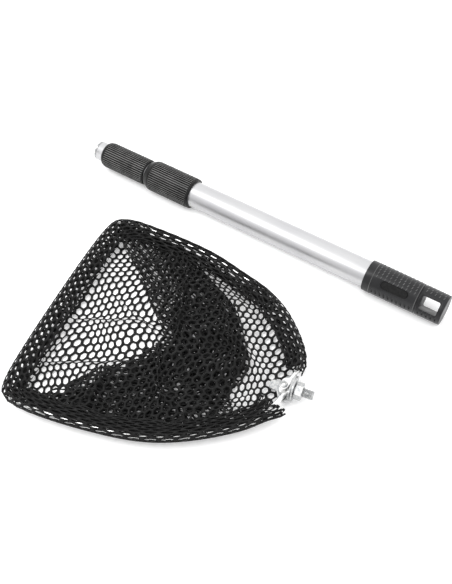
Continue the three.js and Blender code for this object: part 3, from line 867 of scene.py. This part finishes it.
def bracket_centre(run):
    """The middle of the sheet as (x, z): along the plate, round the fold, up the web."""
    low, radius = PLATE_TOP - PLATE_THICKNESS / 2, FOLD_RADIUS - PLATE_THICKNESS / 2
    if run <= FLAT_RUN:
        return -PLATE_LENGTH + run, low
    angle = (run - FLAT_RUN) / FOLD_RADIUS
    if angle < math.pi / 2:
        return (-PLATE_LENGTH + FLAT_RUN + radius * math.sin(angle),
                low + radius * (1 - math.cos(angle)))
    beyond = run - FLAT_RUN - FOLD_RUN
    return -PLATE_LENGTH + FLAT_RUN + radius, low + radius + beyond


def make_bracket():
    """Folded sheet: a tapering plate with a rounded tongue, bent up into the web."""
    stops = (0, TONGUE_WIDTH / 2, FLAT_RUN, FLAT_RUN + FOLD_RUN, SHEET_RUN - WEB_CORNER,
             SHEET_RUN)
    rows = (14, 24, 10, 8, 10)
    runs = np.unique(np.concatenate([np.linspace(*part) for part in zip(stops, stops[1:], rows)]))
    columns = 17
    points = []
    for run in runs:
        x, z = bracket_centre(run)
        for column in range(columns):
            points.append((x, bracket_half_width(run) * (2 * column / (columns - 1) - 1), z))
    piece = build("hub_bracket_folded", (points, grid_faces(len(runs), columns)), NET, ZINC)
    sheet = piece.modifiers.new("sheet", "SOLIDIFY")
    sheet.thickness = PLATE_THICKNESS * MM * 0.94
    sheet.offset = 0
    ease_edges(piece, 0.28, 3)
    stands_for(sharpen(piece, 45), "net_head", "zinc_steel", "hub_bracket")


UPRIGHT = Matrix.Rotation(-math.pi / 2, 4, "Y")    # turns a lathe's X axis to +Z


def make_rivet():
    """A tubular rivet: a turned-over head with a dark hollow in its middle."""
    top = GAP / 2 + EYE_THICKNESS + 0.2
    bottom = PLATE_TOP - PLATE_THICKNESS
    profile = [(bottom - 1.1, ON_AXIS), (bottom - 1.1, 1.6), (bottom - 0.7, 2.9),
               (bottom - 0.05, 3.1), (bottom - 0.05, 1.9), (top, 1.9), (top, 3.3),
               (top + 0.5, 3.2), (top + 1.0, 2.4), (top + 0.9, 1.7), (top - 0.6, 1.35),
               (top - 0.9, ON_AXIS)]
    shape = lathe(rounded(profile, 0.3, 3, closed=False), 48)
    place = NET @ Matrix.Translation((EYE_X, 0, 0)) @ UPRIGHT
    rivet = build("hub_rivet_tubular", shape, place, ZINC, sharp=50)
    stands_for(rivet, "net_head", "zinc_steel", "hub_rivet")


def make_stud():
    sides = 56
    points, faces = thread(*STUD, STUD_RADIUS, THREAD_DEPTH, sides)
    stud = build("hub_stud_threaded", capped(points, faces, sides), NET, ZINC, sharp=60)
    stands_for(stud, "net_head", "zinc_steel", "hub_stud")


def make_washer():
    start, end = WASHER
    bore = STUD_RADIUS + GAP
    profile = rounded([(start, bore), (start, WASHER_RADIUS), (end, WASHER_RADIUS), (end, bore)],
                      0.35, 4)
    washer = build("stud_washer_stamped", lathe(profile, 128), NET, ZINC, sharp=50)
    stands_for(washer, "net_head", "zinc_steel", "stud_washer")


def make_nut():
    """A hexagon nut with the usual chamfered corners and countersunk bore."""
    start, end = NUT
    corner = NUT_FLATS / 2 / math.cos(math.pi / 6)
    hexagon = [(corner * math.cos(k * math.pi / 3), corner * math.sin(k * math.pi / 3))
               for k in range(6)]
    along = NET @ Matrix.Rotation(math.pi / 2, 4, "Y")
    piece = prism("stud_nut_chamfered", hexagon, start, end, along, ZINC)
    cone = [(start, corner - 1.05), (start + 0.95, corner + 0.35), (end - 0.95, corner + 0.35),
            (end, corner - 1.05)]
    boolean(piece, build("cone", lathe_bar(cone, 120), NET, ZINC), "INTERSECT")
    bore = [(start - 1, 5.4), (start + 0.7, 4.1), (end - 0.7, 4.1), (end + 1, 5.4)]
    boolean(piece, build("bore", lathe_bar(bore, 96), NET, ZINC))
    ease_edges(piece, 0.12, least_degrees=40)
    stands_for(sharpen(piece, 30), "net_head", "zinc_steel", "stud_nut")


# ---- net head: netting --------------------

HOLE_PITCH = 7.4                 # from hole to hole across the net
ROW_PITCH = 5.45                 # from one staggered row to the next
HOLE_LENGTH, HOLE_WIDTH = 5.7, 4.1
STRAND_THICKNESS = 1.1
HOLE_SIDES = 12
HEM_WIDTH = 15.0
SHEET_REST = FLOOR_Z + STRAND_THICKNESS / 2 + 0.15
LAYERS = 5                       # of netting in the pile
LAYER = 1.9                      # rise from one folded layer to the next
RIM_Z = -3.7
HUB_RIM_Z = -7.6
NOISE_SEED = Vector((3.1, 7.7, 1.3))


def noise_field(a, b, size, layer):
    """Smooth noise over pattern coordinates, from about -1 to 1."""
    flat_a, flat_b = np.ravel(a) / size, np.ravel(b) / size
    values = [noise.noise(Vector((x, y, layer)) + NOISE_SEED) for x, y in zip(flat_a, flat_b)]
    return np.array(values).reshape(np.shape(a)) * 2


def knit(name, surface, inside, span_a, span_b, open_share=1.0):
    """Netting with round holes on a staggered pattern, laid on surface(a, b) -> (n, 3).

    inside(a, b) says which holes exist, and open_share shrinks them. Each hole is a ring of
    strand faces between its rounded edge and the hexagon that it shares with its neighbours.
    The strands are thickest along those hexagons. The result is one closed mesh."""
    rows = np.arange(math.floor(span_a[0] / ROW_PITCH), math.ceil(span_a[1] / ROW_PITCH) + 1)
    columns = np.arange(math.floor(span_b[0] / HOLE_PITCH),
                        math.ceil(span_b[1] / HOLE_PITCH) + 1)
    centres = np.array([(row * ROW_PITCH, (column + (row % 2) / 2) * HOLE_PITCH)
                        for row in rows for column in columns])
    centres = centres[inside(centres[:, 0], centres[:, 1])]
    angles = np.arange(HOLE_SIDES) * 2 * math.pi / HOLE_SIDES
    ray = np.stack([np.cos(angles), np.sin(angles)], 1)
    at_corner = (np.arange(HOLE_SIDES) % 2 == 0)[:, None]
    reach = np.where(at_corner, 2 / 3, 1 / math.sqrt(3))
    hexagon = ray * reach * (ROW_PITCH, HOLE_PITCH * math.sqrt(3) / 2)
    hole = ray * np.where(at_corner, 0.54, 0.49) * (HOLE_WIDTH, HOLE_LENGTH) * open_share
    border = (centres[:, None] + hexagon).reshape(-1, 2)
    keys = np.round(border / (ROW_PITCH / 6, HOLE_PITCH / 8)).astype(int)
    _, first, shared = np.unique(keys, axis=0, return_index=True, return_inverse=True)
    border = border[first]
    shared = shared.reshape(-1, HOLE_SIDES)
    holes = (centres[:, None] + hole).reshape(-1, 2)
    nudge = 0.4
    a, b = border[:, 0], border[:, 1]
    along = surface(a + nudge, b) - surface(a - nudge, b)
    across = surface(a, b + nudge) - surface(a, b - nudge)
    up = np.cross(along, across)
    up /= np.maximum(np.linalg.norm(up, axis=1), 1e-9)[:, None]
    middle = surface(a, b)
    top = middle + up * STRAND_THICKNESS / 2
    bottom = middle - up * STRAND_THICKNESS / 2
    points = np.vstack([top, bottom, surface(holes[:, 0], holes[:, 1])])
    count = len(border)
    own = 2 * count + np.arange(len(holes)).reshape(-1, HOLE_SIDES)
    following = np.roll(np.arange(HOLE_SIDES), -1)
    upper = np.stack([shared, shared[:, following], own[:, following], own], 2).reshape(-1, 4)
    lower = np.stack([shared + count, own, own[:, following], shared[:, following] + count], 2)
    sides = {}
    for start, end in zip(shared.ravel(), shared[:, following].ravel()):
        sides[(start, end)] = sides.get((start, end), 0) + 1
    rim = [(end, start, start + count, end + count) for start, end in sides
           if (end, start) not in sides]
    faces = upper.tolist() + lower.reshape(-1, 4).tolist() + rim
    return add_mesh(name, points, faces, NET, YARN)


HOOP = smooth_line(HOOP_POINTS, 1.5)
far_tip, near_tip = int(np.argmax(HOOP[:, 1])), int(np.argmin(HOOP[:, 1]))
FAR_SIDE, NEAR_SIDE = HOOP[far_tip, 1], HOOP[near_tip, 1]
FRONT_EDGE = HOOP[far_tip:near_tip + 1][::-1]
REAR_EDGE = np.vstack([HOOP[near_tip:], HOOP[:far_tip + 1]])
mouth = np.linspace(HOOP[-1], HOOP[0], 12)[1:-1]
RIM = np.vstack([HOOP, mouth])                 # the whole loop, closed behind the bracket
rim_ahead = np.roll(RIM, -1, axis=0) - np.roll(RIM, 1, axis=0)
RIM_INWARD = np.stack([-rim_ahead[:, 1], rim_ahead[:, 0]], 1)
RIM_INWARD /= np.linalg.norm(RIM_INWARD, axis=1)[:, None]


def front_edge(b):
    return np.interp(b, FRONT_EDGE[:, 1], FRONT_EDGE[:, 0])


def rear_edge(b):
    return np.interp(b, REAR_EDGE[:, 1], REAR_EDGE[:, 0])


def from_rim(points):
    """For each point: the nearest place on the rod, and how far inside of it the point is."""
    nearest = np.empty(len(points), int)
    for start in range(0, len(points), 2000):
        part = slice(start, start + 2000)
        offset = points[part, None, :2] - RIM[None]
        nearest[part] = (offset ** 2).sum(axis=2).argmin(axis=1)
    return nearest, ((points[:, :2] - RIM[nearest]) * RIM_INWARD[nearest]).sum(axis=1)


def folds(b):
    """x where the netting starts, folds back, folds forward, and so on, along each b."""
    front, rear = front_edge(b), rear_edge(b)
    slope = np.where(b > 3, 1.12, 0.98)
    left_top = -119 - slope * (np.hypot(b - 3, 18) - 18) + 1.5 * np.sin(b / 7)
    right_low = -42 - 0.0095 * (b - 3.6) ** 2 + 1.5 * np.sin(b / 8)
    left_low = left_top + 7 + 3 * np.sin(b / 11) + 34 * smooth(22, 58, b)
    right_top = right_low - 4 + 34 * smooth(-8, -52, b)
    left_top = np.maximum(left_top, front + 9)
    right_low = np.minimum(right_low, rear - 5)
    right_top = np.clip(right_top, left_top, rear - 7)
    left_low = np.clip(left_low, left_top, np.maximum(right_low - 10, left_top))
    return front, right_low, left_low, right_top, left_top, rear


START = -218.0                   # x at which the netting's rows are counted from
SHOWN_FROM = 524.0               # rows further on than this lie in the top layer at x > 0
NARROW = 22.0                    # the pile has only two layers where it is narrower


def laid_up(a, b):
    """x and height of the piled netting: a counts rows from the front, in mm.

    The lowest and the top layer are laid straight; the hidden ones between them take up
    what is left of the rows."""
    stops = folds(b)
    half = LAYER / 2
    low_end, top_start = stops[1] - START, stops[4] + SHOWN_FROM
    hidden = sum(np.abs(there - here) for here, there in zip(stops[1:4], stops[2:5]))
    hidden = hidden + (LAYERS - 1) * math.pi * half
    along = (a - low_end) / np.maximum(top_start - low_end, 1) * hidden
    x, level = START + a, np.zeros_like(a)
    start = np.zeros_like(a)
    for fold in range(LAYERS - 1):
        way = 1 if fold % 2 == 0 else -1
        here = stops[fold + 1]
        on = along > start
        angle = np.clip((along - start) / half, 0, math.pi)
        x = np.where(on, here + way * half * np.sin(angle), x)
        level = np.where(on, fold * LAYER + half * (1 - np.cos(angle)), level)
        start = start + math.pi * half
        on = along > start
        x = np.where(on, here - way * (along - start), x)
        start = start + np.abs(stops[fold + 2] - here)
    narrow = stops[1] - stops[4] < NARROW
    on_top = (a > top_start) | (narrow & (a > (low_end + top_start) / 2))
    x = np.where(on_top, a - SHOWN_FROM, np.where(narrow, START + a, x))
    level = np.where(on_top, (LAYERS - 1) * LAYER, np.where(narrow, 0, level))
    return x, level, on_top


# Creases in the netting: start and end on the net's plan, how far they draw it in, and height.
CREASES = (
    ((-200, -2), (-134, 22), 3.6, 1.8),
    ((-178, 34), (-126, 12), 3.0, 1.4),
    ((-196, -52), (-118, -14), 3.8, 2.6),
    ((-206, -62), (-196, -18), 3.0, 1.6),
    ((-150, 96), (-62, 70), 2.4, 1.8),
    ((-130, 88), (-119, 52), 4.0, 4.0),
    ((-119, 52), (-108, 15), 4.6, 5.0),
    ((-119, 1), (-99, -39), 4.4, 4.0),
    ((-100, -44), (-50, -62), 3.4, 3.0),
    ((-84, 58), (-56, 16), 3.0, 3.0),
    ((-150, -64), (-96, -80), 3.0, 2.4),
    ((-60, -60), (-24, -8), 2.2, 1.6),
    ((-66, 30), (-24, 6), 2.0, 1.6),
)
CREASE_REACH = 6.0


def creased(points, share):
    """Draws the netting in towards each crease and lifts it there."""
    for start, end, draw, height in CREASES:
        start, end = np.array(start, float), np.array(end, float)
        length = np.linalg.norm(end - start)
        along = (end - start) / length
        aside = np.array([-along[1], along[0]])
        offset = points[:, :2] - start
        run, off = offset @ along, offset @ aside
        fade = smooth(-14, 10, run) * (1 - smooth(length - 10, length + 14, run)) * share
        pull = draw * np.tanh(off / CREASE_REACH) * np.exp(-(off / 26) ** 2) * fade
        points[:, :2] -= pull[:, None] * aside
        points[:, 2] += height * np.exp(-(off / 3.2) ** 2) * fade
    return points


def bag_surface(a, b):
    """The net bag as it lies: along the floor, folded to and fro in a pile, up to the rod."""
    a, b = np.asarray(a, float), np.asarray(b, float)
    off_ends = (smooth(0, 26, a + START - front_edge(b))
                * smooth(0, 26, rear_edge(b) + SHOWN_FROM - a))
    off_sides = smooth(NEAR_SIDE, NEAR_SIDE + 20, b) * smooth(FAR_SIDE, FAR_SIDE - 20, b)
    warp_a = 3.0 * off_ends * noise_field(a, b, 42, 1.5)
    warp_b = 3.0 * off_ends * off_sides * noise_field(a, b, 38, 9.5)
    a, b = a + warp_a, np.clip(b + warp_b, NEAR_SIDE + 0.2, FAR_SIDE - 0.2)
    x, level, on_top = laid_up(a, b)
    stops = folds(b)
    sink = np.where(on_top, smooth(0, 26, x - np.maximum(stops[1], stops[3])), 0.0)
    sink = np.maximum(sink, 1 - smooth(NARROW - 8, NARROW + 20, stops[1] - stops[4]))
    swell = 0.95 * (1 - np.abs(noise_field(x, b, 52, 4.5))) ** 2
    ripple = 0.9 * np.abs(noise_field(a, b, 24, 12.5))
    z = SHEET_REST + level * (1 - 0.85 * sink) * (0.85 + swell) + ripple
    on_show = np.where(on_top | (a + START < stops[4]), 1.0, 0.3)
    points = creased(np.stack([x, b, z], 1), on_show)
    nearest, gap = from_rim(points)
    astray = np.maximum(2.0 - gap, 0)
    points[:, :2] += RIM_INWARD[nearest] * astray[:, None]
    near_hub = 1 - smooth(18, 44, np.hypot(points[:, 0], points[:, 1]))
    sunk = 0.4 * ((LAYERS - 1) * LAYER - level) * (stops[1] - stops[4] > 0)
    rim = RIM_Z + (HUB_RIM_Z - RIM_Z) * near_hub - sunk
    rim = np.where(x < stops[4], RIM_Z, rim)
    rise = 1 - smooth(2.0, 20, gap)
    points[:, 2] = points[:, 2] * (1 - rise) + rim * rise
    points[:, 2] = np.maximum(points[:, 2], SHEET_REST)
    return points


def bag_rows(a, b):
    """True where the bag has netting: between its rims, with the pile's hidden layers only
    where it is wide enough to have them."""
    front, right_low, _, _, left_top, rear = folds(b)
    low_end, top_start = right_low - START, left_top + SHOWN_FROM
    width = right_low - left_top
    whole = (a + START > front + 3) & (a < rear + SHOWN_FROM - 3)
    hidden = (a > low_end - 1) & (a < top_start - 8 * (width < NARROW - 5))
    return whole & (b > NEAR_SIDE + 4) & (b < FAR_SIDE - 4) & ~(hidden & (width < NARROW + 6))


def make_bag():
    bag = knit("net_bag_knitted", bag_surface, bag_rows, (-8, 540), (NEAR_SIDE, FAR_SIDE))
    stands_for(bag, "net_head", "netting", "net_bag")
    return bag


HOOP_RUN = run_lengths(HOOP)
HOOP_LENGTH = HOOP_RUN[-1]
HEM_FROM_FAR_END = 6.0           # rod left bare at the end of the far arm
HEM_FROM_NEAR_END = 7.0          # and at the end of the near arm
LOOSE_CORNERS = (                # run along the rod, half length and size of each
    (13.0, 9.0, 2.0),
    (HOOP_LENGTH - 13.0, 10.0, 7.5),
)
NEAR_SLACK = 0.4                 # how much looser the fold is along the near arm

# The hem across the rod, as (inward, up) points: outwards under the rod, folded a little
# clear of it, back over it, and the cut edge turned under.
HEM_LINE = np.array([
    (HEM_WIDTH, -5.0), (8.0, -4.4), (2.5, -3.9), (-1.5, -3.0), (-3.2, -1.4), (-3.8, 0.0),
    (-3.2, 1.8), (-1.6, 3.2), (1.5, 3.8), (5.0, 3.3), (9.0, 1.6), (HEM_WIDTH - 1, -0.8),
    (HEM_WIDTH, -1.8), (HEM_WIDTH - 1, -2.7), (9.0, -0.6), (5.5, 1.1), (3.0, 1.6),
    (1.6, 2.3), (0.0, 2.7), (-1.6, 2.2), (-2.4, 1.2),
])
HEM_ACROSS = run_lengths(HEM_LINE)
HEM_FOLD = HEM_ACROSS[5]
HEM_TURN = HEM_ACROSS[12]
FOLD_ROW = 9                     # the row of holes that lies on the fold
LOOSE_STRETCH = 1.15             # how far the hem's netting is pulled along the rod in front
TIGHT_STRETCH = 1.75             # and along the two arms
FAR_ARM_TIGHT = 95.0             # where along the rod the far arm's tight length starts
HEM_DRAWN_IN = 0.8               # how wide its rows lie, if not pulled long, against knitted
HEM_NARROWEST = 0.4              # no row is drawn in to less than this share of its width


def hem_stretch(run):
    """How many times longer than knitted the hem's netting is, along the rod."""
    far_corner, near_corner = HOOP_RUN[far_tip], HOOP_RUN[near_tip]
    far_arm = smooth(FAR_ARM_TIGHT - 25, FAR_ARM_TIGHT + 25, run)
    far_arm = far_arm * smooth(far_corner + 20, far_corner - 20, run)
    near_arm = smooth(near_corner - 20, near_corner + 20, run)
    return LOOSE_STRETCH + (TIGHT_STRETCH - LOOSE_STRETCH) * (far_arm + near_arm)


HEM_KNITTED = np.r_[0, np.cumsum(np.diff(HOOP_RUN) / hem_stretch(HOOP_RUN[1:]))]


def hem_place(a, b):
    """Where on the hem a row a and a place b along that row come to lie: mm across its
    section and mm along the rod. Netting that is pulled long draws in across."""
    run = np.interp(b, HEM_KNITTED, HOOP_RUN)
    across = HEM_FOLD + (a - FOLD_ROW * ROW_PITCH) * HEM_DRAWN_IN / hem_stretch(run)
    return np.clip(across, 0, HEM_ACROSS[-1]), run


def hem_surface(a, b):
    """The hem sleeve: a runs across its section and b along the rod."""
    a, b = hem_place(np.asarray(a, float), np.asarray(b, float))
    ripple = noise_field(a, b, 16, 20.5)
    inward = np.interp(a, HEM_ACROSS, HEM_LINE[:, 0])
    up = np.interp(a, HEM_ACROSS, HEM_LINE[:, 1])
    share = smooth(2, 12, inward)
    b = b + HOLE_PITCH / 2 * smooth(HEM_FOLD - 3, HEM_FOLD - 9, a)
    b = b + HOLE_PITCH / 4 * smooth(HEM_TURN - 6, HEM_TURN, a)
    b = b + 1.6 * share * noise_field(a, b, 22, 30.5)
    run = np.clip(b, 0.5, HOOP_LENGTH - 0.5)
    x, y = on_line(HOOP, run).T
    ahead_x, ahead_y = (on_line(HOOP, run + 0.5) - on_line(HOOP, run - 0.5)).T
    length = np.hypot(ahead_x, ahead_y)
    inward = inward * (1 + 0.08 * ripple * share)
    slack = NEAR_SLACK * smooth(0.6 * HOOP_LENGTH, 0.68 * HOOP_LENGTH, b)
    inward = inward - slack * smooth(1.0, -3.6, inward)
    for centre, reach, size in LOOSE_CORNERS:
        inward = inward - size * np.exp(-((b - centre) / reach) ** 2) * (1 - share)
    x = x - inward * ahead_y / length
    y = y + inward * ahead_x / length
    z = np.maximum(up + 0.8 * ripple * share, SHEET_REST + 1.0)
    return np.stack([x, y, z], 1)


def make_hem():
    def inside(a, b):
        across, run = hem_place(a, b)
        return ((across > 1.5) & (across < HEM_ACROSS[-1] - 1.5)
                & (run > HEM_FROM_FAR_END + HOLE_PITCH / 2)
                & (run < HOOP_LENGTH - HEM_FROM_NEAR_END - HOLE_PITCH * 1.2))
    spans = (0, HEM_ACROSS[-1] / HEM_NARROWEST), (0, HEM_KNITTED[-1])
    hem = knit("net_hem_sewn", hem_surface, inside, *spans, open_share=0.92)
    stands_for(hem, "net_head", "netting", "net_hem")
    return hem


# ---- making everything --------------------

make_camera()
make_lights()
make_floor()
make_tubes()
make_outer_collar()
make_middle_collar()
make_tip_socket()
make_socket_thread()
make_grip()
make_inlay()
make_grip_ticks()
make_grip_beads()
finish_inner_pieces()
make_hoop_rod()
make_bracket()
make_rivet()
make_stud()
make_washer()
make_nut()
netting_bag = make_bag()
netting_hem = make_hem()
